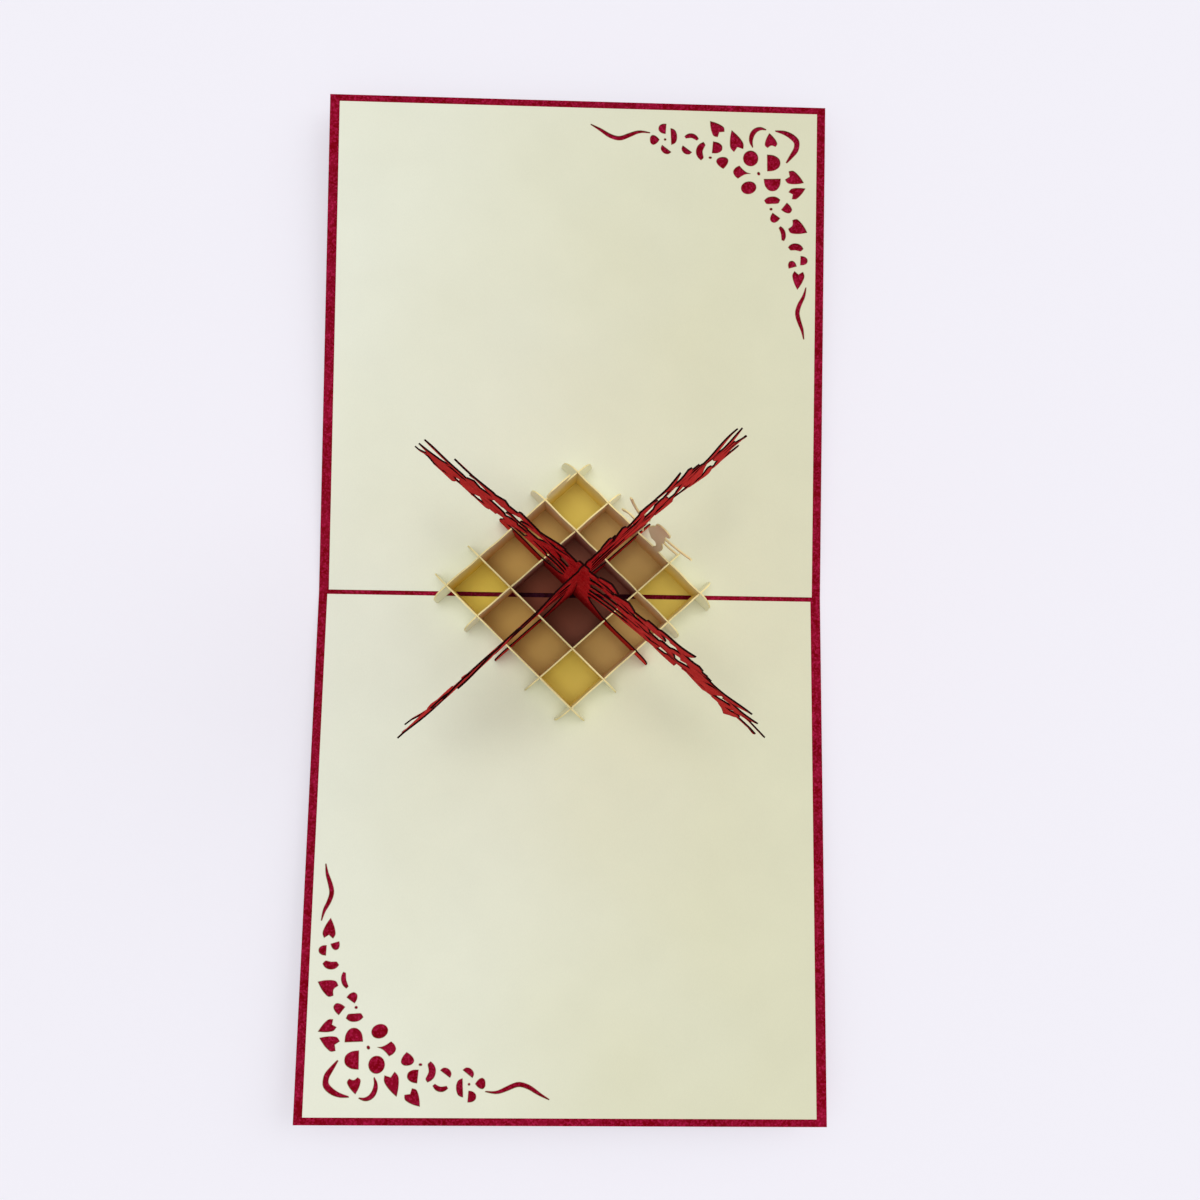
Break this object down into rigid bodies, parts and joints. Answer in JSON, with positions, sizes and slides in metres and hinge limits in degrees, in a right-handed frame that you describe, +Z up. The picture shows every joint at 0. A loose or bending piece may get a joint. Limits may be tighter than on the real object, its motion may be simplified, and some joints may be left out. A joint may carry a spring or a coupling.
{
  "type": "pop-up card",
  "caption": "Square greeting card lying open as a shallow V, with a paper tree of heart leaves standing on a base of interlocking slats, and ornament cut through the pages.",
  "frame": {"origin": "middle of the fold on the underside of the cover", "axes": "+X along the fold to the right, +Y from the fold across the upper page, +Z up from the table"},
  "size_m": [0.15, 0.2998, 0.0904],
  "materials": {
    "cover_card": "pearl",
    "page_paper": "matte",
    "slat_paper": "matte",
    "tree_paper": "pearl"
  },
  "bodies": {
    "root": {"cover": "cover_card", "upper_page": "page_paper", "lower_page": "page_paper", "rising_slat_1": "slat_paper", "rising_slat_2": "slat_paper", "rising_slat_3": "slat_paper", "rising_slat_4": "slat_paper", "falling_slat_1": "slat_paper", "falling_slat_2": "slat_paper", "falling_slat_3": "slat_paper", "couple_slat": "slat_paper", "rising_tree": "tree_paper", "falling_tree": "tree_paper"}
  },
  "joints": []
}
